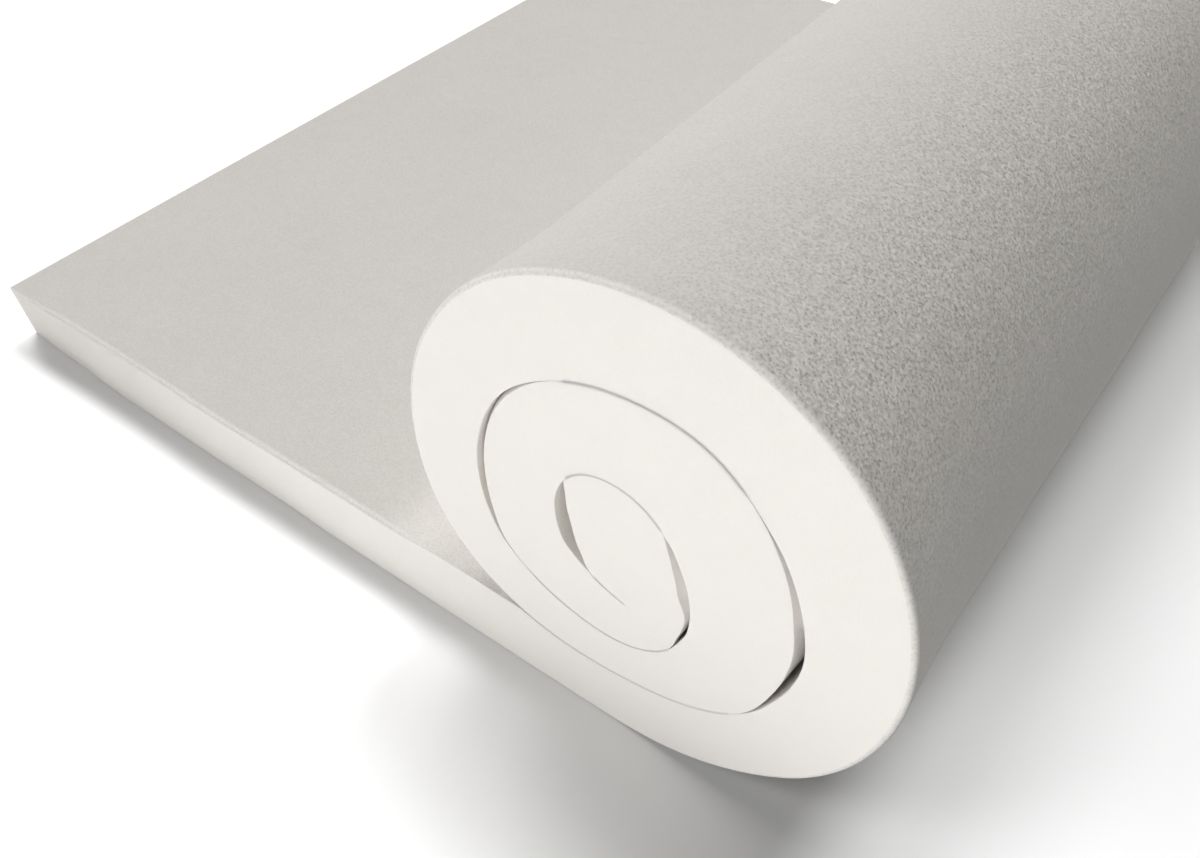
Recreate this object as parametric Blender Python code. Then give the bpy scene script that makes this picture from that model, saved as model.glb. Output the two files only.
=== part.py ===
"""Mattress topper: one plain panel of soft white foam, lying flat at one end and rolled up from the other.

The panel is cut 1900 mm long, 900 mm wide and 50 mm thick. Its length runs along X: the flat run starts at
the lowest X, passes under the roll, and the rest of it is wound up and back over that run in two and a
quarter turns. The last of it is folded down and up again to make the core. Its width runs along Y.

The origin is on the floor, under the middle of the whole shape. The section is worked out in millimetres
from the flat end, and becomes metres as the mesh is made.
"""

from collections import namedtuple

import bmesh
import bpy
import numpy as np

MM = 0.001
NAME = "foam_topper"

THICKNESS = 50.0
WIDTH = 900.0

# The axis that the foam is wound around: its distance from the flat end, and its height.
AXIS_ALONG = 610.0
AXIS_UP = 147.5

# A place in the winding is the angle turned from straight down, counted through all the turns. The panel's
# underside becomes the outside of the roll. Each row gives how far from the axis that underside, or the
# upper face of the turn around it, lies in one direction on each turn. The bottom of every turn is pressed
# closer by the weight above it, and the third turn closes in on the folded core.
STEP = 45.0
Reach = namedtuple("Reach", "toward first second third")
WINDING = (
    Reach("floor", 147.5, 103.0, 72.0),
    Reach("floor and front", 152.0, 106.0, 52.0),
    Reach("front", 147.5, 97.0, 33.6),
    Reach("front and top", 142.5, 91.0, 32.0),
    Reach("top", 147.0, 98.5, 41.0),
    Reach("top and back", 156.0, 106.0, 54.5),
    Reach("back", 149.5, 98.0, 47.0),
    Reach("back and floor", 125.5, 80.0, 32.4),
)
FOLD_REACH = 37.5

# The foam is wound inwards up to the cut end of the panel, and the core's fold is a slit deeper in.
TOUCHDOWN = 300.0
INSIDE_OF_FOLD = 717.0
SLIT_TIP = INSIDE_OF_FOLD + 360.0
MIDDLE_OF_CUT_END = 925.0

# Neighbouring turns touch all round but for a hairline, which opens at four places.
HAIRLINE = 0.8
HAIRLINE_FROM = 285.0
HAIRLINE_FADE = 20.0
TIP_FADE = 4.0
Opening = namedtuple("Opening", "where start end width")
OPENINGS = (
    Opening("front of the second turn", 380.0, 505.0, 5.4),
    Opening("back of the second turn", 588.0, 658.0, 2.4),
    Opening("front of the core", 762.0, 888.0, 4.8),
    Opening("back of the core", 950.0, 1040.0, 9.0),
)

# Facets: how many steps each stretch of the panel is cut into.
WEDGE_STEPS = 9
TURNING_STEPS = 108
CORE_STEPS = 26

FOAM_COLOR = (0.86, 0.85, 0.82, 1.0)
FOAM_ROUGHNESS = 0.95


def clear_scene():
    for obj in list(bpy.data.objects):
        bpy.data.objects.remove(obj, do_unlink=True)


def smooth_slopes(values):
    """Slopes that make a cubic through evenly spaced values bend smoothly: level at its start, free at its end."""
    count = len(values)
    matrix = np.zeros((count, count))
    right = np.zeros(count)
    matrix[0, 0] = 1.0
    for i in range(1, count - 1):
        matrix[i, i - 1 : i + 2] = (1.0, 4.0, 1.0)
        right[i] = 3.0 * (values[i + 1] - values[i - 1])
    matrix[-1, -2:] = (1.0, 2.0)
    right[-1] = 3.0 * (values[-1] - values[-2])
    return np.linalg.solve(matrix, right)


REACHES = np.array(
    [row.first for row in WINDING] + [row.second for row in WINDING] + [row.third for row in WINDING] + [FOLD_REACH]
)
SLOPES = smooth_slopes(REACHES)


def reach(turned):
    """Distance from the axis to the face between two turns, at each angle turned, in millimetres."""
    place = np.clip(np.asarray(turned) / STEP, 0.0, len(REACHES) - 1.001)
    row = place.astype(int)
    u = place - row
    start = REACHES[row] * (1 + 2 * u) * (1 - u) ** 2 + SLOPES[row] * u * (1 - u) ** 2
    end = REACHES[row + 1] * u**2 * (3 - 2 * u) + SLOPES[row + 1] * u**2 * (u - 1)
    return start + end


def opening(turned):
    """Width of the slit between a turn and the one around it, at each angle turned, in millimetres."""
    turned = np.asarray(turned)
    width = HAIRLINE * np.clip((turned - HAIRLINE_FROM) / HAIRLINE_FADE, 0.0, 1.0)
    for gap in OPENINGS:
        share = np.clip((turned - gap.start) / (gap.end - gap.start), 0.0, 1.0)
        width = width + gap.width * np.sin(np.pi * share) ** 2
    return width * np.clip((SLIT_TIP - turned) / TIP_FADE, 0.0, 1.0)


def around_axis(turned, distance):
    """Places in the section, along and up, at each angle turned and distance from the axis."""
    angle = np.radians(turned)
    return np.stack([AXIS_ALONG + distance * np.sin(angle), AXIS_UP - distance * np.cos(angle)], axis=1)


def panel_faces():
    """The section as two lists of places in step, from the flat end to the cut end inside the roll: the
    panel's underside, and its upper face across from each place."""
    flat_under = np.array([[0.0, 0.0]])
    flat_upper = np.array([[0.0, THICKNESS]])

    # Under the roll the upper face stays at the foam's own thickness until the next turn presses it down.
    touching = np.linspace(TOUCHDOWN, 360.0, WEDGE_STEPS, endpoint=False)
    wedge_upper = around_axis(touching, reach(touching))
    wedge_upper[:, 1] = np.minimum(wedge_upper[:, 1], THICKNESS)
    wedge_under = wedge_upper * (1.0, 0.0)

    turning = np.linspace(0.0, INSIDE_OF_FOLD, TURNING_STEPS + 1)
    turning_under = around_axis(turning, reach(turning) - opening(turning))
    turning_under[:, 1] = np.maximum(turning_under[:, 1], 0.0)
    turning_upper = around_axis(turning + 360.0, reach(turning + 360.0))

    # In the core both faces run to the middle of the cut end, one each side of the fold.
    core_front = np.linspace(INSIDE_OF_FOLD, MIDDLE_OF_CUT_END, CORE_STEPS + 1)[1:]
    core_back = np.linspace(SLIT_TIP, MIDDLE_OF_CUT_END, CORE_STEPS + 1)[1:]
    core_under = around_axis(core_front, reach(core_front) - opening(core_front))
    core_upper = around_axis(core_back, reach(core_back) - opening(core_back))

    under = np.vstack([flat_under, wedge_under, turning_under, core_under])
    upper = np.vstack([flat_upper, wedge_upper, turning_upper, core_upper])
    return under, upper


def foam_topper():
    """The section's strip of faces, extruded along the width."""
    under, upper = panel_faces()
    middle = (under[:, 0].min() + under[:, 0].max()) / 2.0
    shape = bmesh.new()
    rows = [
        [shape.verts.new(((along - middle) * MM, -WIDTH / 2 * MM, up * MM)) for along, up in face]
        for face in (under, upper[:-1])
    ]
    under_row, upper_row = rows
    upper_row.append(under_row[-1])
    for i in range(len(under_row) - 1):
        corners = [under_row[i], under_row[i + 1], upper_row[i + 1], upper_row[i]]
        shape.faces.new(list(dict.fromkeys(corners)))
    made = bmesh.ops.extrude_face_region(shape, geom=list(shape.faces))
    far_side = [item for item in made["geom"] if isinstance(item, bmesh.types.BMVert)]
    bmesh.ops.translate(shape, vec=(0.0, WIDTH * MM, 0.0), verts=far_side)
    bmesh.ops.recalc_face_normals(shape, faces=list(shape.faces))
    mesh = bpy.data.meshes.new(NAME)
    shape.to_mesh(mesh)
    shape.free()
    mesh.shade_smooth()
    mesh.set_sharp_from_angle(angle=np.radians(40.0))
    obj = bpy.data.objects.new(NAME, mesh)
    bpy.context.scene.collection.objects.link(obj)
    return obj


def white_foam():
    material = bpy.data.materials.new("white_foam")
    material.use_nodes = True
    material.diffuse_color = FOAM_COLOR
    shader = material.node_tree.nodes["Principled BSDF"]
    shader.inputs["Base Color"].default_value = FOAM_COLOR
    shader.inputs["Roughness"].default_value = FOAM_ROUGHNESS
    shader.inputs["Metallic"].default_value = 0.0
    return material


def main():
    clear_scene()
    topper = foam_topper()
    topper.data.materials.append(white_foam())


main()
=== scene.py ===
"""Mattress topper: the bare off-white foam panel, its cut edges and its grain, on a plain studio floor.

The panel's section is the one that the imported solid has: a flat run, and a roll wound up over it in two and a
quarter turns around a folded core. Here it is made finer. The turns press together to a hairline, the cut
edges are rounded off, the cut sides stand a little uneven, and the skin carries the foam's own grain.
"""

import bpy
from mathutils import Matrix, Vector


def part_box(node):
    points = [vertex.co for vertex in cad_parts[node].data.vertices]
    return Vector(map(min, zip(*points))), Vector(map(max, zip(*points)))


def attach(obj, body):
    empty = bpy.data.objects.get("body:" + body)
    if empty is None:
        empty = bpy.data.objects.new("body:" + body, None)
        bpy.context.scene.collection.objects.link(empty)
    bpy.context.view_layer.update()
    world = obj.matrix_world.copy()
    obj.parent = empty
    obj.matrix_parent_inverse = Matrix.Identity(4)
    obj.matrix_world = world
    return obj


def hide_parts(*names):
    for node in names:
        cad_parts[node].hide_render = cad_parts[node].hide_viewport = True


bl_info = {
    "name": "Foam Topper",
    "version": (1, 0, 0),
    "blender": (4, 5, 0),
    "location": "3D View > Sidebar > Foam Topper",
    "description": "Makes a rolled foam mattress topper and the studio that it lies in",
    "category": "Add Mesh",
}

from collections import namedtuple
from math import cos, radians, sin

import bpy
import numpy as np
from bpy.props import FloatProperty, FloatVectorProperty, PointerProperty
from bpy.types import Operator, Panel, PropertyGroup
from mathutils import Matrix, Vector

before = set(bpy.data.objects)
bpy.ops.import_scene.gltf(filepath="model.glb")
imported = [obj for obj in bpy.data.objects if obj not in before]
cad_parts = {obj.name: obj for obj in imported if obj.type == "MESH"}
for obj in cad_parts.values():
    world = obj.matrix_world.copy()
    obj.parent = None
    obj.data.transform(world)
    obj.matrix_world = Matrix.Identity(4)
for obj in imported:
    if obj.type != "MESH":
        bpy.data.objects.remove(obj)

NODE = "foam_topper"
PIECE = "rolled_foam_panel"
BODY = "root"
MM = 0.001

LOW, HIGH = (np.array(corner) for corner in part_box(NODE))
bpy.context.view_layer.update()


# ---------------------------------------------------------------------------------------------------------
# The winding, in millimetres: along from the panel's flat end, and up from the floor
# ---------------------------------------------------------------------------------------------------------

THICKNESS = 50.0
AXIS_ALONG = 610.0
AXIS_UP = 147.5

# How far from the roll's axis the face between two turns lies, in each direction, on each turn. Directions
# are turned from straight down, towards the open side of the roll first.
STEP = 45.0
Reach = namedtuple("Reach", "toward first second third")
WINDING = (
    Reach("floor", 147.5, 103.0, 72.0),
    Reach("floor and front", 152.0, 106.0, 52.0),
    Reach("front", 147.5, 97.0, 33.6),
    Reach("front and top", 142.5, 91.0, 32.0),
    Reach("top", 147.0, 98.5, 41.0),
    Reach("top and back", 156.0, 106.0, 54.5),
    Reach("back", 149.5, 98.0, 47.0),
    Reach("back and floor", 125.5, 80.0, 32.4),
)
FOLD_REACH = 37.5

TOUCHDOWN = 300.0
FULL_TURN = 360.0
INSIDE_OF_FOLD = 717.0
SLIT_TIP = INSIDE_OF_FOLD + FULL_TURN
BEND_END = 757.0
MIDDLE_OF_CUT_END = 925.0

# How the foam lies off that even winding: at each angle turned, how much further out the face between two
# turns lies, how wide the slit there stands open at the cut side, and how deep in it has closed. Below
# nothing, the width says how tightly the turns press together there.
Seam = namedtuple("Seam", "turned out slit deep")
SEAMS = (
    # the outside of the roll
    Seam(0.0, 0.0, 0.0, 8.0),
    Seam(15.0, -0.7, 0.0, 8.0),
    Seam(45.0, -3.5, 0.0, 8.0),
    Seam(75.0, -6.4, 0.0, 8.0),
    Seam(90.0, -6.2, 0.0, 8.0),
    Seam(120.0, -1.9, 0.0, 8.0),
    Seam(150.0, 4.7, 0.0, 8.0),
    Seam(180.0, 7.2, 0.0, 8.0),
    Seam(210.0, 3.8, 0.0, 8.0),
    Seam(240.0, -2.2, 0.0, 8.0),
    Seam(270.0, -5.0, 0.0, 8.0),
    Seam(300.0, -2.1, 0.0, 8.0),
    Seam(330.0, 0.5, -0.7, 8.0),
    Seam(375.0, -0.8, -0.8, 30.0),
    # the front of the second turn
    Seam(402.0, -3.8, -0.2, 90.0),
    Seam(412.0, -5.0, 1.2, 90.0),
    Seam(422.0, -6.3, 2.8, 90.0),
    Seam(435.0, -5.3, 4.7, 90.0),
    Seam(448.0, -3.8, 5.3, 60.0),
    Seam(462.0, -3.5, 4.7, 14.0),
    Seam(475.0, -2.5, 3.1, 8.0),
    Seam(490.0, -0.8, 1.6, 8.0),
    Seam(504.0, 0.6, 0.0, 8.0),
    Seam(522.0, 3.0, -0.4, 8.0),
    # the back of the second turn
    Seam(550.0, 0.3, -0.4, 8.0),
    Seam(572.0, -1.0, 0.0, 8.0),
    Seam(590.0, -0.8, 2.2, 8.0),
    Seam(612.0, -1.5, 3.8, 8.0),
    Seam(630.0, 0.3, 4.6, 8.0),
    Seam(642.0, 2.4, 3.6, 8.0),
    Seam(656.0, 5.0, 1.0, 8.0),
    Seam(672.0, 4.0, -0.3, 8.0),
    Seam(700.0, 0.0, -0.8, 8.0),
    # the front of the core
    Seam(749.0, -1.8, -0.3, 90.0),
    Seam(756.0, -2.7, 2.2, 90.0),
    Seam(766.0, -3.0, 3.2, 60.0),
    Seam(777.0, -3.5, 3.0, 14.0),
    Seam(790.0, -3.2, 6.4, 10.0),
    Seam(815.0, -1.9, 5.8, 8.0),
    Seam(845.0, -2.0, 4.2, 8.0),
    Seam(864.0, -1.6, 2.6, 8.0),
    Seam(875.0, -1.4, 0.0, 8.0),
    Seam(900.0, 0.0, -0.85, 8.0),
    # the back of the core
    Seam(945.0, -1.4, -0.85, 10.0),
    Seam(955.0, -1.8, 0.0, 12.0),
    Seam(962.0, -2.1, 4.2, 20.0),
    Seam(972.0, -1.9, 7.3, 26.0),
    Seam(984.0, -1.0, 9.4, 30.0),
    Seam(996.0, 1.2, 9.6, 30.0),
    Seam(1008.0, 3.9, 8.6, 22.0),
    Seam(1020.0, 4.7, 5.6, 12.0),
    Seam(1032.0, 5.0, 1.6, 6.0),
    Seam(1042.0, 4.6, -0.4, 6.0),
    Seam(1077.0, 0.0, -0.6, 6.0),
)

# The hairline: the angle that it starts at, the angle over which it opens, and the share of its width that is
# left where the turns press together most.
HAIRLINE_FROM = 285.0
HAIRLINE_FADE = 20.0
FINEST_SHARE = 0.25

# How far a cut edge is rounded over: the share of its radius that every pressed edge has, the width of a slit
# that frees it wholly, the angle over which it fades out towards the fold, and how much more of it the upper
# edge of the flat run has.
PRESSED_SHARE = 0.1
FREE_SLIT = 2.0
FOLD_FADE = 40.0
SOFT_EDGE = 1.4

# How the near cut side stands out at its lower and its upper edge, at lengths along the panel, and how the
# roll's outside lies at places across its width.
NearSide = namedtuple("NearSide", "along lower upper")
NEAR_SIDE = (
    NearSide(0.0, -6.0, -2.0),
    NearSide(50.0, -3.5, -1.5),
    NearSide(80.0, -2.4, -2.2),
    NearSide(110.0, -0.4, -2.4),
    NearSide(180.0, 0.4, -2.0),
    NearSide(240.0, 1.1, -0.5),
    NearSide(320.0, 1.2, -0.4),
    NearSide(370.0, 2.3, -0.3),
    NearSide(450.0, 2.6, 0.0),
    NearSide(600.0, 2.0, 0.0),
    NearSide(720.0, 0.4, 0.0),
    NearSide(800.0, 0.0, 0.0),
    NearSide(880.0, 0.0, 0.0),
    NearSide(2000.0, 0.0, 0.0),
)
Girth = namedtuple("Girth", "across out")
GIRTH = (
    Girth(-452.0, 0.0),
    Girth(-440.0, -0.6),
    Girth(-415.0, -2.0),
    Girth(-300.0, -1.8),
    Girth(-100.0, 0.2),
    Girth(100.0, 2.6),
    Girth(250.0, 3.8),
    Girth(460.0, 4.0),
)

# The parts of the panel's faces that lie open, where they may swell and sink: angles turned on the roll's
# outside, and lengths along the flat run's top. Each has its start, its end and the fade inside them.
OPEN_TURN = (14.0, 286.0, 30.0)
OPEN_FLAT = (6.0, 480.0, 60.0)

# The parts that show the skin's colour, in the same angles and lengths. Between the flat run and the roll it
# turns into the lighter colour of the cut faces, as painted light in the notch there. The grain is strongest
# where the skin goes over the roll's front, and with it the painted shade in the pores, where the light grazes
# the skin.
GRAIN_TURN = (100.0, 195.0, 45.0)
SKIN_TURN = (-40.0, 306.0, 40.0)
SKIN_FLAT = (-110.0, 520.0, 110.0)

# How the skin's share falls off over a rounded edge and a slit closes with its depth, as powers, how far in the
# cut sides' unevenness reaches, how much of its slow waves the near side shows, and over what height the upper
# face turns from flat to pressed. The colour over a rounded edge, part skin and part cut face, is painted light
# and shade that evens out how brightly the edge is lit.
SKIN_POWER = 5.0
SLIT_POWER = 1.5
SIDE_FADE = 60.0
NEAR_WANDER = 0.3
PRESSED_SOFTNESS = 1.0

# The slow waves of the open faces and of the cut sides: seed, number of sines, shortest and longest of them.
SWELL = (5, 9, 90.0, 330.0)
WANDER = (11, 7, 130.0, 520.0)

# Spacing of the mesh along the panel and across its width, how many places a curve is measured with, how many
# steps the small rounds have, how far past them the next places lie, how far in from there the further rows
# lie, and the shares of the way up a cut side that its places lie at.
STEP_ALONG = 6.0
STEP_OUTER = 4.5
STEP_INNER = 3.0
STEP_CORE = 1.9
STEP_ACROSS = 19.0
FINE_PLACES = 2000
ROUND_STEPS = 4
SUPPORT = 1.6
SLIT_ROWS = np.array([0.0, 1.4, 3.2, 5.4, 8.2, 12.0, 17.5, 25.0, 36.0, 52.0])
LEVELS = np.array([0.0, 0.035, 0.12, 0.26, 0.42, 0.58, 0.74, 0.88, 0.965, 1.0])

# What the mesh carries for its materials: how much of the skin's colour each place shows, the lighter cut
# colour in its place being painted light between the flat run and the roll, and how much of its grain, with the
# painted shade in its pores.
SKIN = "skin"
GRAIN_AND_PORE_SHADE = "grain_and_pore_shade"


def smooth_slopes(values):
    """Slopes for a cubic through evenly spaced values: level at the start, free at the end, and between them
    four times a slope plus the slopes on each side of it is three times the rise from one side to the
    other."""
    count = len(values)
    matrix = np.diag(np.full(count, 4.0)) + np.eye(count, k=1) + np.eye(count, k=-1)
    matrix[0, :2] = (1.0, 0.0)
    matrix[-1, -2:] = (1.0, 2.0)
    right = np.zeros(count)
    right[1:-1] = 3.0 * (values[2:] - values[:-2])
    right[-1] = 3.0 * (values[-1] - values[-2])
    return np.linalg.solve(matrix, right)


REACHES = np.array([row[turn] for turn in (1, 2, 3) for row in WINDING] + [FOLD_REACH])
SLOPES = smooth_slopes(REACHES)


def cubic(u, start, end, leaving, arriving):
    """The cubic from a start to an end, at a share u of the way, that leaves the one with one slope and
    arrives at the other with another."""
    from_start = start * (1 + 2 * u) * (1 - u) ** 2 + leaving * u * (1 - u) ** 2
    to_end = end * u**2 * (3 - 2 * u) + arriving * u**2 * (u - 1)
    return from_start + to_end


def through(places, at, values):
    """The cubic through unevenly spaced values, its slope at each of them the one between its neighbours."""
    slopes = np.gradient(values, at)
    row = np.clip(np.searchsorted(at, places, side="right") - 1, 0, len(at) - 2)
    step = at[row + 1] - at[row]
    u = np.clip((places - at[row]) / step, 0.0, 1.0)
    return cubic(u, values[row], values[row + 1], slopes[row] * step, slopes[row + 1] * step)


SEAM_AT, SEAM_OUT, SEAM_SLIT, SEAM_DEEP = np.array(SEAMS).T
NEAR_AT, NEAR_LOWER, NEAR_UPPER = np.array(NEAR_SIDE).T
GIRTH_AT, GIRTH_OUT = np.array(GIRTH).T


def reach(turned):
    """Distance from the axis at each angle turned: the cubic through the winding's rows, a step apart, and
    how much further out the seam lies there."""
    place = np.clip(turned / STEP, 0.0, len(REACHES) - 1.0)
    row = np.minimum(place.astype(int), len(REACHES) - 2)
    even = cubic(place - row, REACHES[row], REACHES[row + 1], SLOPES[row], SLOPES[row + 1])
    return even + through(turned, SEAM_AT, SEAM_OUT)


def slit_width(turned):
    """Width that the seam stands open at the cut side at each angle turned, or under nothing where it
    presses."""
    return through(turned, SEAM_AT, SEAM_SLIT)


def opening(turned, hairline):
    """Width of the slit at each angle turned: the seam's own slit, and the hairline, which is finer the more
    tightly the turns press together."""
    width = slit_width(turned)
    hairline = hairline * np.clip(1.0 + width, FINEST_SHARE, 1.0)
    return hairline * np.clip((turned - HAIRLINE_FROM) / HAIRLINE_FADE, 0.0, 1.0) + np.maximum(width, 0.0)


def looseness(turned):
    """How far a turn's cut edge is free to round over, from nothing to one: wholly before the hairline starts,
    and then by the share that every pressed edge has and the slit's width over the width that leaves it free,
    fading out towards the fold."""
    free = np.clip(PRESSED_SHARE + slit_width(turned) / FREE_SLIT, 0.0, 1.0)
    return np.where(turned < HAIRLINE_FROM, 1.0, free) * np.clip((SLIT_TIP - turned) / FOLD_FADE, 0.0, 1.0)


def around_axis(turned, distance):
    """Places along and up: from the axis, the distance times the angle's sine along, and its cosine down."""
    angle = np.radians(turned)
    return np.stack([AXIS_ALONG + distance * np.sin(angle), AXIS_UP - distance * np.cos(angle)], axis=1)


def even_turns(start, end, step):
    """Angles from start to end, set so that the winding's curve runs on by equal lengths between them."""
    fine = np.linspace(start, end, FINE_PLACES)
    lengths = followed(around_axis(fine, reach(fine)))
    even = np.linspace(0.0, lengths[-1], int(np.ceil(lengths[-1] / step)) + 1)
    return np.interp(even, lengths, fine)


def followed(places):
    """Length along a line of places: the running sum of the distances between them."""
    return np.append(0.0, np.cumsum(np.hypot(*np.diff(places, axis=0).T)))


def softly_lower(one, other, softness):
    """The lower of two heights, rounded where they cross: minus the softness times the logarithm of the sum
    of the exponentials of both, each over minus the softness."""
    return -softness * np.logaddexp(-one / softness, -other / softness)


def rise_and_fall(places, start, end, fade):
    """One between start and end and nothing outside them, with a smooth step of the fade's length inside
    each."""
    u = np.clip(np.minimum(places - start, end - places) / fade, 0.0, 1.0)
    return u * u * (3.0 - 2.0 * u)


def waves(seed, count, shortest, longest):
    """A smooth uneven function of two lengths: the mean of a count of sines, with seeded headings and starts,
    and with seeded wavelengths between the shortest and the longest."""
    rng = np.random.default_rng(seed)
    length = rng.uniform(shortest, longest, count)
    heading = rng.uniform(0.0, np.pi, count)
    start = rng.uniform(0.0, 2.0 * np.pi, count)

    def height(one, other):
        inside = np.multiply.outer(one, np.cos(heading)) + np.multiply.outer(other, np.sin(heading))
        return np.sin(2.0 * np.pi * inside / length + start).mean(axis=-1)

    return height


# One face of the panel in the section: its places, how open each lies, how far it is wound round the roll's
# outside, how much of the skin's colour it shows, with painted light where it shows less between the flat run
# and the roll, how much of its grain it shows, with the painted shade in its pores, how loose its cut edge is,
# and the slit that it opens there and how deep in that has closed.
Face = namedtuple("Face", "places open wound skin grain loose slit deep")


def face(places, open=0.0, wound=0.0, skin=0.0, grain=0.0, loose=1.0, slit=0.0, deep=1.0):
    """A face with each of its shares given once for all its places, or place by place."""
    shares = (open, wound, skin, grain, loose, slit, deep)
    return Face(places, *(np.broadcast_to(share, len(places)) for share in shares))


def joined(faces):
    """Faces one after the other, as one."""
    return Face(*(np.concatenate(parts) for parts in zip(*faces)))


def turned_face(turned, hairline, **shares):
    """A face that lies in from the winding's curve by the slit's width."""
    places = around_axis(turned, reach(turned) - opening(turned, hairline))
    slit = opening(turned, 0.0)
    deep = through(turned, SEAM_AT, SEAM_DEEP)
    return face(places, loose=looseness(turned), slit=slit, deep=deep, **shares)


def flat_stretch(corner):
    """From the flat end to where the roll touches down: quarter rounds of the corner's radius, then
    straight."""
    quarter = np.linspace(np.pi / 2, 0.0, ROUND_STEPS + 1)
    touchdown = np.array([TOUCHDOWN])
    run = around_axis(touchdown, reach(touchdown))[0, 0]
    straight = np.linspace(corner + SUPPORT, run, int(run / STEP_ALONG))[:-1]
    along = np.concatenate([corner * (1.0 - np.sin(quarter)), straight])
    up = np.concatenate([corner * (1.0 - np.cos(quarter)), np.zeros_like(straight)])
    under = face(np.stack([along, up], axis=1))
    upper = np.stack([along, THICKNESS - up], axis=1)
    open_flat = rise_and_fall(along, *OPEN_FLAT)
    return under, face(upper, open=open_flat, skin=rise_and_fall(along, *SKIN_FLAT), loose=SOFT_EDGE)


def pressed_stretch():
    """Under the roll's back: the upper face leaves the foam's thickness where the roll presses it lower."""
    turned = even_turns(TOUCHDOWN, FULL_TURN, STEP_ALONG)[:-1]
    upper = around_axis(turned, reach(turned))
    upper[:, 1] = softly_lower(upper[:, 1], THICKNESS, PRESSED_SOFTNESS)
    skin = rise_and_fall(upper[:, 0], *SKIN_FLAT)
    return face(upper * (1.0, 0.0)), face(upper, skin=skin, loose=looseness(turned))


def wound_stretch(hairline):
    """The turns: the underside lies in by the slit's width, and the upper face is a full turn further on."""
    outer_turn = even_turns(0.0, FULL_TURN, STEP_OUTER)
    turned = np.concatenate([outer_turn[:-1], even_turns(FULL_TURN, INSIDE_OF_FOLD, STEP_INNER)])
    open_turn = rise_and_fall(turned, *OPEN_TURN)
    skin = rise_and_fall(turned, *SKIN_TURN)
    grain = rise_and_fall(turned, *GRAIN_TURN)
    under = turned_face(turned, hairline, open=open_turn, wound=open_turn, skin=skin, grain=grain)
    under.places[:, 1] = np.maximum(under.places[:, 1], 0.0)
    around = turned + FULL_TURN
    return under, face(around_axis(around, reach(around)), loose=looseness(around))


def folded_stretch(hairline):
    """The core. While the underside bends round the fold, the upper face only turns from one wall of the
    slit's end to the other, in a half circle as wide as the slit. Then both faces run at the same share of
    their way to the middle of the cut end."""
    bend = even_turns(INSIDE_OF_FOLD, BEND_END, STEP_ALONG)[1:]
    distances = reach(SLIT_TIP) - np.array([0.0, opening(SLIT_TIP, hairline)])
    walls = around_axis(np.array([SLIT_TIP, SLIT_TIP]), distances)
    middle, half = walls.mean(axis=0), (walls[0] - walls[1]) / 2.0
    turned = np.linspace(0.0, np.pi, len(bend) + 1)[1:, None]
    tip = middle + half * np.cos(turned) + half[::-1] * (-1.0, 1.0) * np.sin(turned)

    front = even_turns(BEND_END, MIDDLE_OF_CUT_END, STEP_CORE)[1:]
    back = np.interp(front, [BEND_END, MIDDLE_OF_CUT_END], [SLIT_TIP, MIDDLE_OF_CUT_END])
    under = turned_face(np.concatenate([bend, front]), hairline)
    return under, joined([face(tip, loose=0.0), turned_face(back, hairline)])


def panel_section(hairline, corner):
    """The panel's underside and its upper face in step, from the flat end to the middle of the cut end, where
    both meet in one place."""
    stretches = [flat_stretch(corner), pressed_stretch(), wound_stretch(hairline), folded_stretch(hairline)]
    return tuple(joined(faces) for faces in zip(*stretches))


def outward(loop):
    """Unit normals of a closed loop: the mean direction of the two edges at each place, turned a quarter."""
    edges = np.roll(loop, -1, axis=0) - loop
    edges /= np.hypot(*edges.T)[:, None]
    along = edges + np.roll(edges, 1, axis=0)
    along /= np.hypot(*along.T)[:, None]
    return along[:, ::-1] * (1.0, -1.0)


def rows_across(half_width, edge):
    """Places across the width, and the share of the edge's radius that the section is drawn in and the place
    lies in at each: a quarter round at both sides, made of a circle's sines and cosines."""
    quarter = np.linspace(0.0, np.pi / 2, ROUND_STEPS + 1)
    depths = edge + SUPPORT + SLIT_ROWS
    inner = half_width - depths[-1] - STEP_ACROSS
    middle = np.linspace(-inner, inner, int(2.0 * inner / STEP_ACROSS) + 1)
    middle = np.concatenate([depths - half_width, middle, half_width - depths[::-1]])
    rim = np.full_like(quarter, half_width)
    level = np.zeros_like(middle)
    rows = np.concatenate([-rim, middle, rim])
    inset = np.concatenate([1.0 - np.sin(quarter), level, 1.0 - np.sin(quarter[::-1])])
    lies_in = np.concatenate([1.0 - np.cos(quarter), level, np.cos(quarter[::-1]) - 1.0])
    return rows, inset, lies_in


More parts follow.
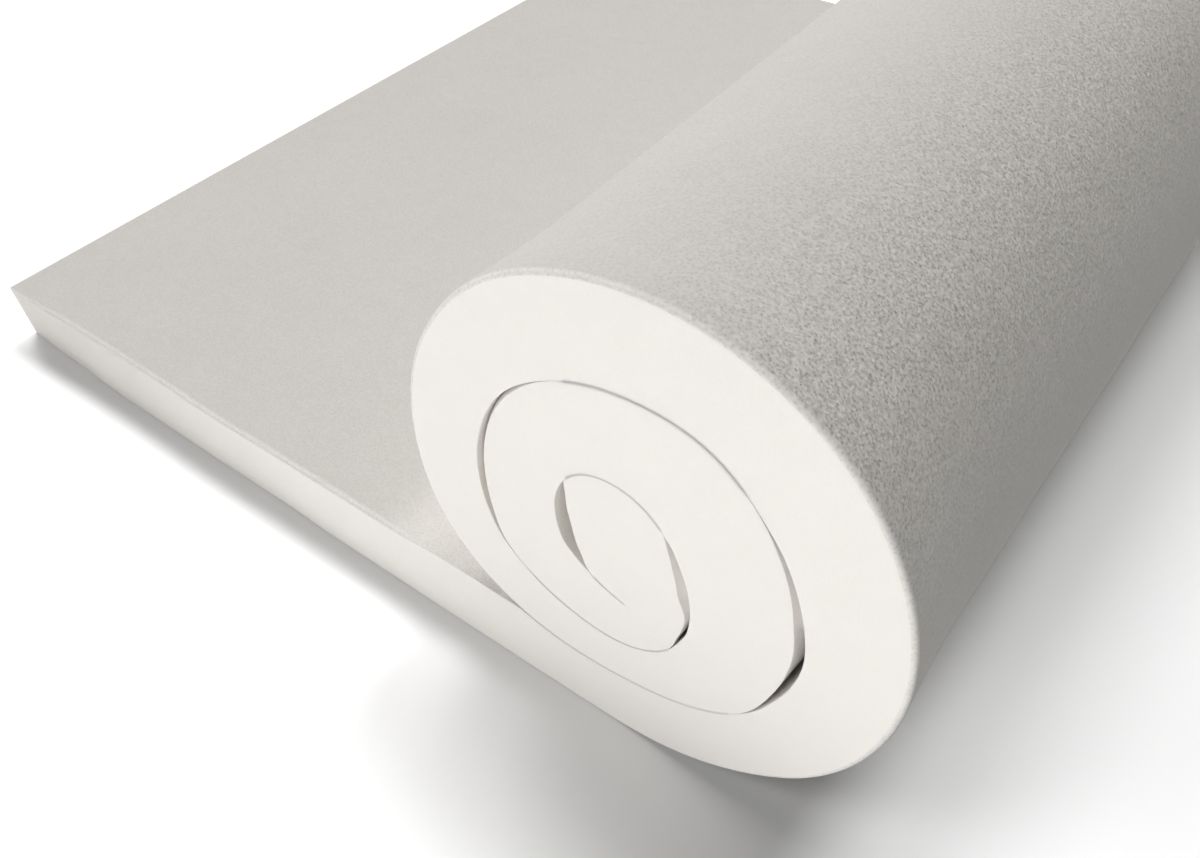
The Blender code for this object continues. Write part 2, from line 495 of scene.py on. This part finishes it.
def panel_wall(under, upper, sizes):
    """The closed loop of the section carried across the width, as places in a grid of loop by row, with the
    loop's own shares, and each row's share of the skin, which is a power of one less the share drawn in and
    paints light and shade over the rounded edges. Each row is drawn in at the rounded edges, a slit closes with
    depth by a power of the share of the way in, the open faces are lifted by slow waves and by the roll's
    girth, and each side stands out and in along the panel's length, faded out towards the middle of the width."""
    half_width = (HIGH[1] - LOW[1]) / 2.0 / MM
    open_edge, pressed_edge = sizes.edge_round / MM, sizes.pressed_round / MM
    rows, inset, lies_in = rows_across(half_width, open_edge)
    # Painted light and shade: how much of the skin's colour each row shows over the rounded edges.
    skinned = (1.0 - inset) ** SKIN_POWER

    back = Face(*(part[-2::-1] for part in upper))
    end_face = face(under.places[0] + (upper.places[0] - under.places[0]) * LEVELS[-2:0:-1, None])
    loop = joined([under, back, end_face])
    length = followed((under.places + upper.places) / 2.0)
    lower = through(length, NEAR_AT, NEAR_LOWER)
    upper_back = through(length, NEAR_AT, NEAR_UPPER)[-2::-1]
    down_end = np.linspace(NEAR_UPPER[0], NEAR_LOWER[0], len(end_face.places))
    stands_out = np.concatenate([lower, upper_back, down_end])
    length = np.concatenate([length, length[-2::-1], 0.0 * end_face.open])

    swell = waves(*SWELL)
    around = followed(loop.places)
    lift = swell(np.add.outer(around, 0.0 * rows), np.add.outer(0.0 * around, rows))
    edge = ((pressed_edge + (open_edge - pressed_edge) * loop.open) * loop.loose)[:, None]
    out = lift * loop.open[:, None] * sizes.unevenness / MM - inset * edge
    out = out + np.multiply.outer(loop.wound, through(rows, GIRTH_AT, GIRTH_OUT))
    still_open = np.clip(1.0 - np.divide.outer(half_width - np.abs(rows), loop.deep).T, 0.0, 1.0)
    out = out + loop.slit[:, None] * (1.0 - still_open**SLIT_POWER)

    wander = waves(*WANDER)
    fade = np.clip((np.abs(rows) - half_width) / SIDE_FADE + 1.0, 0.0, 1.0) ** 2
    reach_out = sizes.side_wander / MM / 2.0
    near = (NEAR_WANDER * wander(length, 0.0 * length) * reach_out + stands_out)[:, None]
    far = (wander(length, 0.0 * length + half_width) * reach_out)[:, None]
    across = rows + lies_in * edge + np.where(rows < 0.0, -near, far) * fade

    normals = outward(loop.places)
    along = loop.places[:, 0, None] + normals[:, 0, None] * out
    up = np.maximum(loop.places[:, 1, None] + normals[:, 1, None] * out, 0.0)
    return np.stack([along, across, up], axis=-1), loop, skinned


def cut_side(wall, stations, row, first_new):
    """One cut side: straight lines from the underside to the upper face at each station, with places at the
    levels' shares of the way. Gives the new places, and the index of every place by station and level."""
    count, row_count = wall.shape[:2]
    rim = wall[:, row]
    last = stations - 1
    under = np.arange(last)
    upper = 2 * last - under
    index = np.empty((last, len(LEVELS)), int)
    index[:, 0] = under * row_count + row
    index[:, -1] = upper * row_count + row
    index[0, 1:-1] = (count - np.arange(1, len(LEVELS) - 1)) * row_count + row
    index[1:, 1:-1] = first_new + np.arange((last - 1) * (len(LEVELS) - 2)).reshape(last - 1, -1)
    share = LEVELS[None, 1:-1, None]
    places = rim[under[1:], None] * (1.0 - share) + rim[upper[1:], None] * share
    return places.reshape(-1, 3), index


def side_faces(index, tip):
    """Four-sided faces between stations and levels, and a fan of triangles from the last station to the
    tip."""
    quads = np.stack([index[:-1, :-1], index[1:, :-1], index[1:, 1:], index[:-1, 1:]], axis=-1).reshape(-1, 4)
    fan = np.stack([index[-1, :-1], np.full(len(LEVELS) - 1, tip), index[-1, 1:]], axis=-1)
    return quads, fan


def wall_faces(count, row_count):
    """Four-sided faces between neighbouring places of the loop and neighbouring rows, the loop closed on
    itself, facing out of the foam."""
    here = np.arange(count)[:, None] * row_count + np.arange(row_count - 1)
    there = np.roll(here, -1, axis=0)
    return np.stack([here, here + 1, there + 1, there], axis=-1)


def foam_mesh(sizes):
    """The whole closed surface as a mesh in metres, in the frame's own place, with its open broad faces in
    the first material, and its cut faces and what is wound up inside in the second."""
    under, upper = panel_section(sizes.hairline / MM, sizes.corner_round / MM)
    stations = len(under.places)
    wall, loop, skinned = panel_wall(under, upper, sizes)
    count, row_count = wall.shape[:2]
    wall_end = count * row_count
    tip = (stations - 1) * row_count

    near_places, near = cut_side(wall, stations, 0, wall_end)
    far_places, far = cut_side(wall, stations, row_count - 1, wall_end + len(near_places))
    near_quads, near_fan = side_faces(near, tip)
    far_quads, far_fan = side_faces(far, tip + row_count - 1)
    walls = wall_faces(count, row_count)

    loop_at = np.indices(walls.shape[:2])[0]
    upper_end = 2 * stations - 2
    broad = (loop_at >= ROUND_STEPS) & (loop_at < upper_end - ROUND_STEPS)
    broad &= loop.skin[loop_at] + loop.skin[(loop_at + 1) % count] > 0.0

    quads = np.vstack([walls.reshape(-1, 4), near_quads, far_quads[:, ::-1]])
    fans = np.vstack([near_fan, far_fan[:, ::-1]])
    cut = np.ones(len(quads) + len(fans), np.int32)
    cut[: broad.size] = ~broad.reshape(-1)

    places = np.vstack([wall.reshape(-1, 3), near_places, far_places]) * MM
    places[:, 0] += LOW[0]
    mesh = bpy.data.meshes.new(PIECE)
    mesh.from_pydata(places.tolist(), [], quads.tolist() + fans.tolist())
    mesh.polygons.foreach_set("material_index", cut)
    for name, share in ((SKIN, loop.skin), (GRAIN_AND_PORE_SHADE, loop.grain)):
        shown = np.zeros(len(places), np.float32)
        shown[:wall_end] = np.outer(share, skinned).ravel()
        mesh.attributes.new(name, "FLOAT", "POINT").data.foreach_set("value", shown)
    mesh.shade_smooth()
    mesh.update()
    return mesh


# ---------------------------------------------------------------------------------------------------------
# Shader maths as plain expressions
# ---------------------------------------------------------------------------------------------------------

# How noise is made, the middle of what it and the cells' random numbers give, and how far red, green and blue
# light get inside the foam, as shares.
NOISE_DETAIL = 2.0
NOISE_ROUGHNESS = 0.5
MIDDLE = 0.5
REACH_BY_COLOUR = (1.0, 0.97, 0.9)


class Socket:
    """One output of a node tree. Plain arithmetic on it adds the Math nodes that work it out."""

    def __init__(self, tree, output):
        self.tree = tree
        self.output = output

    def math(self, operation, *values):
        return self.tree.node("ShaderNodeMath", {"operation": operation}, dict(enumerate(values)))[0]

    def __add__(self, other):
        return self.math("ADD", self, other)

    def __sub__(self, other):
        return self.math("SUBTRACT", self, other)

    def __mul__(self, other):
        return self.math("MULTIPLY", self, other)

    __radd__ = __add__
    __rmul__ = __mul__

    def between(self, low, high):
        """Nothing at low and under, one at high and over, with a smooth step between them."""
        sockets = {0: self, 1: low, 2: high, 3: 0.0, 4: 1.0}
        return self.tree.node("ShaderNodeMapRange", {"interpolation_type": "SMOOTHSTEP"}, sockets)[0]


class Tree:
    """A material's node tree with one shader in it."""

    def __init__(self, name):
        self.material = bpy.data.materials.new(name)
        self.material.use_nodes = True
        self.nodes = self.material.node_tree.nodes
        self.links = self.material.node_tree.links
        self.shader = self.nodes["Principled BSDF"]

    def node(self, kind, settings, sockets):
        """Adds a node of a kind: its settings first, then the value or link of each socket. Gives its
        outputs."""
        made = self.nodes.new(kind)
        for name, value in settings.items():
            setattr(made, name, value)
        for name, value in sockets.items():
            self.feed(made.inputs[name], value)
        return [Socket(self, output) for output in made.outputs]

    def feed(self, socket, value):
        """Links another socket in, or sets a plain value."""
        if isinstance(value, Socket):
            self.links.new(value.output, socket)
        else:
            socket.default_value = value

    def place(self):
        """Where a point of the surface is, in the object's own metres."""
        return self.node("ShaderNodeTexCoord", {}, {})[3]

    def attribute(self, name):
        """A number that the mesh carries from place to place."""
        return self.node("ShaderNodeAttribute", {"attribute_name": name}, {})[2]

    def noise(self, place, size):
        """Soft random values from nothing to one, with lumps of a size in metres."""
        sockets = {"Vector": place, "Scale": 1.0 / size, "Detail": NOISE_DETAIL, "Roughness": NOISE_ROUGHNESS}
        return self.node("ShaderNodeTexNoise", {}, sockets)[0]

    def cells(self, place, size):
        """Scattered cells of a size in metres: how far a point is from its cell's middle, in sizes, and three
        random numbers from nothing to one for each cell."""
        return self.node("ShaderNodeTexVoronoi", {}, {"Vector": place, "Scale": 1.0 / size})[:2]

    def vector(self, operation, sockets):
        """What a Vector Math node makes of its sockets."""
        return self.node("ShaderNodeVectorMath", {"operation": operation}, sockets)[0]

    def tilted(self, normal, cells, slope):
        """A normal tilted by the slope in each cell's own direction."""
        centred = self.vector("SUBTRACT", {0: cells, 1: (MIDDLE, MIDDLE, MIDDLE)})
        leaning = self.vector("ADD", {0: normal, 1: self.vector("SCALE", {0: centred, "Scale": slope})})
        return self.vector("NORMALIZE", {0: leaning})

    def normal(self):
        """Which way the surface faces, before anything tilts it."""
        return self.node("ShaderNodeNewGeometry", {}, {})[1]

    def mixed(self, share, first, second):
        """A colour between two, by a share from nothing to one."""
        sockets = {0: share, 6: first, 7: second}
        return self.node("ShaderNodeMix", {"data_type": "RGBA"}, sockets)[2]

    def bump(self, height, depth, normal=None):
        """A normal tilted by a height from nothing to one that stands for a depth in metres."""
        sockets = {"Height": height, "Distance": depth, "Strength": 1.0}
        if normal is not None:
            sockets["Normal"] = normal
        return self.node("ShaderNodeBump", {}, sockets)[0]

    def let_light_in(self, finish):
        """Lets light into the foam and out again nearby."""
        self.feed(self.shader.inputs["Subsurface Weight"], finish.translucence)
        self.feed(self.shader.inputs["Subsurface Radius"], REACH_BY_COLOUR)
        self.feed(self.shader.inputs["Subsurface Scale"], finish.light_reach)


def paint(colour, share=1.0):
    """A colour with its alpha, every part of it times a share."""
    return (*(part * share for part in colour), 1.0)


# ---------------------------------------------------------------------------------------------------------
# The foam's two finishes
# ---------------------------------------------------------------------------------------------------------

# Sizes of the skin's cells and pores, of the cut faces' grain, and of the blotches and clouds of both.
CELL = 1.0 * MM
PORE = 1.8 * MM
GRAIN = 1.3 * MM
BLOTCH = 16.0 * MM
CLOUD = 90.0 * MM

# The skin's grain: its share away from the roll's front, how far from a pore's middle the dark, partly painted
# shade, starts and is full and the pale wall starts and is full, in pores, and how pale a wall is for how dark
# a pore is.
LEAST_GRAIN = 0.3
PORE_DARK = (0.42, 0.18)
PORE_WALL = (0.5, 0.8)
PALE_SHARE = 0.4

# How each finish varies: how far it is on its way to its darkest colour, by how much blotches and clouds
# shift that, what share of its colour the darkest is, and how rough it is at least and by how much it varies.
# The cut faces' grain shifts their colour too.
Variety = namedtuple("Variety", "level blotch cloud darkest roughness rougher")
SKIN_VARIETY = Variety(level=0.13, blotch=0.05, cloud=0.08, darkest=0.4, roughness=0.86, rougher=0.12)
CUT_VARIETY = Variety(level=0.05, blotch=0.05, cloud=0.06, darkest=0.7, roughness=0.88, rougher=0.08)
CUT_GRAIN_SHADE = 0.06

# How far from the flat end the cut faces carry painted shade, greyer towards the end, in metres.
END_SHADE_FADE = 0.42


def broad_finish(finish):
    """The panel's broad faces: a skin whose cells each face their own way, with dark pores and pale walls
    between them, the pores' dark partly painted shade, more so over the roll's front where the light grazes the
    skin, and soft blotches and wide clouds in the colour."""
    tree = Tree("foam_broad_face")
    place = tree.place()
    # Over the roll's front, where the light grazes the skin, the pores carry more painted shade and the cells
    # tilt more.
    stands_out = LEAST_GRAIN + (1.0 - LEAST_GRAIN) * tree.attribute(GRAIN_AND_PORE_SHADE)
    facing = tree.cells(place, CELL)[1]
    from_pore = tree.cells(place, PORE)[0]
    blotch = tree.noise(place, BLOTCH)
    cloud = tree.noise(place, CLOUD)
    pores = from_pore.between(*PORE_DARK) - PALE_SHARE * from_pore.between(*PORE_WALL)
    varies = SKIN_VARIETY
    shade = pores * finish.pore_darkness * stands_out
    shade = shade + (blotch - MIDDLE) * varies.blotch + (cloud - MIDDLE) * varies.cloud
    # Where the skin's share is low, between the flat run and the roll and over rounded edges, the lighter cut
    # colour stands as painted light.
    skin = tree.mixed(tree.attribute(SKIN), paint(finish.cut_colour), paint(finish.skin_colour_and_shade))
    colour = tree.mixed(shade + varies.level, skin, paint(finish.skin_colour_and_shade, varies.darkest))
    tree.feed(tree.shader.inputs["Base Color"], colour)
    tree.feed(tree.shader.inputs["Roughness"], varies.roughness + blotch * varies.rougher)
    grain = tree.tilted(tree.normal(), facing, finish.grain_slope * stands_out)
    tree.feed(tree.shader.inputs["Normal"], tree.bump(blotch, finish.mottle_depth, normal=grain))
    return tree.material


def cut_finish(finish):
    """The panel's cut faces: cells sliced clean, so the grain is fine and faint, with painted shade that makes
    them a little greyer towards the panel's flat end."""
    tree = Tree("foam_cut_face")
    place = tree.place()
    grain = tree.noise(place, GRAIN)
    blotch = tree.noise(place, BLOTCH)
    cloud = tree.noise(place, CLOUD)
    varies = CUT_VARIETY
    shade = (grain - MIDDLE) * CUT_GRAIN_SHADE + (blotch - MIDDLE) * varies.blotch
    shade = shade + (cloud - MIDDLE) * varies.cloud + varies.level
    colour = tree.mixed(shade, paint(finish.cut_colour), paint(finish.cut_colour, varies.darkest))
    along = tree.node("ShaderNodeSeparateXYZ", {}, {0: place})[0]
    # Painted shade: near the flat end, where less light falls, the cut faces take on the broad faces' colour.
    painted_shade = along.between(LOW[0] + END_SHADE_FADE, LOW[0]) * finish.end_painted_shade
    tree.feed(tree.shader.inputs["Base Color"], tree.mixed(painted_shade, colour, paint(finish.skin_colour_and_shade)))
    tree.feed(tree.shader.inputs["Roughness"], varies.roughness + grain * varies.rougher)
    tree.feed(tree.shader.inputs["Normal"], tree.bump(grain, finish.cut_grain_depth))
    tree.let_light_in(finish)
    return tree.material


# ---------------------------------------------------------------------------------------------------------
# Settings
# ---------------------------------------------------------------------------------------------------------


class TopperSizes(PropertyGroup):
    """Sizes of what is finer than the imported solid."""

    hairline: FloatProperty(
        name="Hairline",
        description="Width of the slit where neighbouring turns press together",
        default=0.09 * MM,
        unit="LENGTH",
    )
    edge_round: FloatProperty(
        name="Edge round",
        description="Radius of the cut edges where the broad faces lie open",
        default=2.8 * MM,
        unit="LENGTH",
    )
    pressed_round: FloatProperty(
        name="Pressed round",
        description="Radius of the cut edges where turns press together",
        default=0.35 * MM,
        unit="LENGTH",
    )
    corner_round: FloatProperty(
        name="Corner round",
        description="Radius of the cut edges at the flat end",
        default=2.2 * MM,
        unit="LENGTH",
    )
    unevenness: FloatProperty(
        name="Unevenness",
        description="How far the open broad faces swell and sink",
        default=0.8 * MM,
        unit="LENGTH",
    )
    side_wander: FloatProperty(
        name="Side wander",
        description="How far the cut sides stand in and out along the panel's length",
        default=1.4 * MM,
        unit="LENGTH",
    )


class TopperFinish(PropertyGroup):
    """Colours and grain of the foam."""

    # The broad faces' colour: darker than the cut faces' partly as the skin's own tone and partly as painted
    # shade, since the broad faces take less of the light.
    skin_colour_and_shade: FloatVectorProperty(
        name="Broad faces",
        description="Colour of the panel's broad faces",
        default=(0.488, 0.469, 0.441),
        subtype="COLOR",
        size=3,
    )
    cut_colour: FloatVectorProperty(
        name="Cut faces",
        description="Colour of the panel's cut sides and ends",
        default=(0.84, 0.812, 0.77),
        subtype="COLOR",
        size=3,
    )
    # Painted shade on the cut faces towards the flat end.
    end_painted_shade: FloatProperty(
        name="End greyness",
        description="How much of the broad faces' colour the cut faces take on at the flat end",
        default=0.38,
        subtype="FACTOR",
    )
    grain_slope: FloatProperty(
        name="Grain slope",
        description="How steeply the open cells tilt the skin round the roll",
        default=0.48,
    )
    mottle_depth: FloatProperty(
        name="Mottle depth",
        description="Depth of the soft mottling of the broad faces",
        default=0.3 * MM,
        unit="LENGTH",
    )
    cut_grain_depth: FloatProperty(
        name="Cut grain depth",
        description="Depth of the sliced cells on the cut faces",
        default=0.3 * MM,
        unit="LENGTH",
    )
    translucence: FloatProperty(
        name="Translucence",
        description="Share of the light that goes into the foam before it comes back out",
        default=0.4,
        subtype="FACTOR",
    )
    light_reach: FloatProperty(
        name="Light's reach",
        description="How far light spreads inside the foam",
        default=4.0 * MM,
        unit="LENGTH",
    )
    # Painted shade in the skin's pores, on top of their own dark.
    pore_darkness: FloatProperty(
        name="Pore darkness",
        description="How much darker the open pores of the skin are",
        default=0.4,
        subtype="FACTOR",
    )


class StudioSettings(PropertyGroup):
    """Floor and light."""

    floor_colour: FloatVectorProperty(
        name="Floor",
        description="Colour of the floor",
        default=(0.9, 0.9, 0.9),
        subtype="COLOR",
        size=3,
    )
    floor_size: FloatProperty(
        name="Floor size",
        description="Length of each side of the floor",
        default=24.0,
        unit="LENGTH",
    )
    sky: FloatProperty(
        name="Sky",
        description="How bright the pale surroundings look; they don't light anything",
        default=0.95,
    )
    brightness: FloatProperty(
        name="Brightness",
        description="How bright all the lamps are together",
        default=1.0,
    )


# ---------------------------------------------------------------------------------------------------------
# Studio
# ---------------------------------------------------------------------------------------------------------

# The camera, in metres and degrees: where it stands, how far it is turned left of straight along the roll,
# how far it looks down, its roll and its lens.
CAMERA_AT = (0.3791, -0.7286, 0.5321)
CAMERA_TURN = 40.941
CAMERA_DOWN = 49.632
CAMERA_ROLL = -2.6394
LENS = 29.791
SENSOR = 36.0
LENS_SHIFT = (0.093, 0.091)

# How far under the foam the floor lies, so that the two faces don't share a place.
FLOOR_DROP = 0.3 * MM

# Soft lamps: where each stands, how wide and tall it is, and its power in watts. All are aimed at one place.
Lamp = namedtuple("Lamp", "name at wide tall power")
LAMPS = (Lamp("low_front", (0.35, -1.25, 0.12), 0.4, 0.12, 1.6),)
AIM = Vector((0.05, -0.1, 0.1))

# Far soft lights: the direction that each comes from, turned from +X and up from the floor in degrees, how
# wide it looks, in degrees, and its strength in watts on a square metre.
FarLight = namedtuple("FarLight", "name turned up spread strength")
FAR_LIGHTS = (
    FarLight("back", 90.0, 62.0, 20.0, 1.76),
    FarLight("back_left", 135.0, 60.0, 20.0, 1.32),
    FarLight("left", 155.0, 40.0, 20.0, 1.05),
    FarLight("front_left", -135.0, 40.0, 20.0, 0.61),
    FarLight("front", -100.0, 25.0, 20.0, 0.55),
)


def add_camera():
    """The camera, turned left, then down, then rolled."""
    turn = Matrix.Rotation(radians(CAMERA_TURN), 4, "Z")
    tilt = Matrix.Rotation(radians(90.0 - CAMERA_DOWN), 4, "X")
    roll = Matrix.Rotation(radians(CAMERA_ROLL), 4, "Z")
    data = bpy.data.cameras.new("camera")
    data.lens = LENS
    data.sensor_width = SENSOR
    data.shift_x, data.shift_y = LENS_SHIFT
    camera = bpy.data.objects.new("camera", data)
    camera.matrix_world = Matrix.Translation(CAMERA_AT) @ turn @ tilt @ roll
    bpy.context.scene.collection.objects.link(camera)
    bpy.context.scene.camera = camera


def add_lamp(lamp, brightness):
    """One soft lamp, which the camera doesn't see."""
    data = bpy.data.lights.new(lamp.name, "AREA")
    data.shape = "RECTANGLE"
    data.size, data.size_y = lamp.wide, lamp.tall
    data.energy = lamp.power * brightness
    made = bpy.data.objects.new(lamp.name, data)
    made.location = lamp.at
    made.rotation_euler = (AIM - Vector(lamp.at)).to_track_quat("-Z", "Y").to_euler()
    made.visible_camera = False
    bpy.context.scene.collection.objects.link(made)


def add_far_light(light, brightness):
    """One far light, which shines the same way everywhere."""
    data = bpy.data.lights.new(light.name, "SUN")
    data.angle = radians(light.spread)
    data.energy = light.strength * brightness
    made = bpy.data.objects.new(light.name, data)
    turned, up = radians(light.turned), radians(light.up)
    comes_from = Vector((cos(turned) * cos(up), sin(turned) * cos(up), sin(up)))
    made.rotation_euler = comes_from.to_track_quat("Z", "Y").to_euler()
    bpy.context.scene.collection.objects.link(made)


def add_sky(strength):
    """Pale surroundings that are seen but light nothing."""
    world = bpy.data.worlds.new("studio")
    world.use_nodes = True
    sky = world.node_tree.nodes["Background"]
    sky.inputs["Color"].default_value = (1.0, 1.0, 1.0, 1.0)
    sky.inputs["Strength"].default_value = strength
    bpy.context.scene.world = world
    world.cycles_visibility.diffuse = False
    world.cycles_visibility.glossy = False


def add_floor(studio):
    """One wide flat square, matt and even."""
    half = studio.floor_size / 2.0
    corners = [(-half, -half), (half, -half), (half, half), (-half, half)]
    mesh = bpy.data.meshes.new("floor")
    mesh.from_pydata([(x, y, -FLOOR_DROP) for x, y in corners], [], [(0, 1, 2, 3)])
    tree = Tree("floor_paint")
    tree.feed(tree.shader.inputs["Base Color"], paint(studio.floor_colour))
    tree.feed(tree.shader.inputs["Roughness"], 1.0)
    tree.feed(tree.shader.inputs["Specular IOR Level"], 0.0)
    mesh.materials.append(tree.material)
    floor = bpy.data.objects.new("floor", mesh)
    bpy.context.scene.collection.objects.link(floor)


# ---------------------------------------------------------------------------------------------------------
# Operators and panel
# ---------------------------------------------------------------------------------------------------------


class FOAM_OT_panel(Operator):
    """Make the rolled foam panel"""

    bl_idname = "foam.panel"
    bl_label = "Rolled Foam Panel"

    def execute(self, context):
        mesh = foam_mesh(context.scene.topper_sizes)
        mesh.materials.append(broad_finish(context.scene.topper_finish))
        mesh.materials.append(cut_finish(context.scene.topper_finish))
        panel = bpy.data.objects.new(PIECE, mesh)
        context.scene.collection.objects.link(panel)
        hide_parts(NODE)
        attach(panel, BODY)
        return {"FINISHED"}


class FOAM_OT_studio(Operator):
    """Make the floor, the lamps and the camera"""

    bl_idname = "foam.studio"
    bl_label = "Studio"

    def execute(self, context):
        studio = context.scene.studio
        add_floor(studio)
        for lamp in LAMPS:
            add_lamp(lamp, studio.brightness)
        for light in FAR_LIGHTS:
            add_far_light(light, studio.brightness)
        add_sky(studio.sky)
        add_camera()
        context.scene.view_settings.view_transform = "Standard"
        return {"FINISHED"}


class FOAM_PT_sidebar(Panel):
    """Lists what this makes, and its settings"""

    bl_idname = "FOAM_PT_sidebar"
    bl_label = "Foam Topper"
    bl_space_type = "VIEW_3D"
    bl_region_type = "UI"
    bl_category = "Foam Topper"

    def draw(self, context):
        layout = self.layout
        scene = context.scene
        for operator, settings in (
            (FOAM_OT_panel, (scene.topper_sizes, scene.topper_finish)),
            (FOAM_OT_studio, (scene.studio,)),
        ):
            layout.operator(operator.bl_idname)
            for group in settings:
                for name in group.__annotations__:
                    layout.prop(group, name)


CLASSES = (TopperSizes, TopperFinish, StudioSettings, FOAM_OT_panel, FOAM_OT_studio, FOAM_PT_sidebar)


def register():
    for made in CLASSES:
        bpy.utils.register_class(made)
    bpy.types.Scene.topper_sizes = PointerProperty(type=TopperSizes)
    bpy.types.Scene.topper_finish = PointerProperty(type=TopperFinish)
    bpy.types.Scene.studio = PointerProperty(type=StudioSettings)


def unregister():
    for name in ("topper_sizes", "topper_finish", "studio"):
        delattr(bpy.types.Scene, name)
    for made in reversed(CLASSES):
        bpy.utils.unregister_class(made)


def main():
    register()
    bpy.ops.foam.panel()
    bpy.ops.foam.studio()


if __name__ == "__main__":
    main()
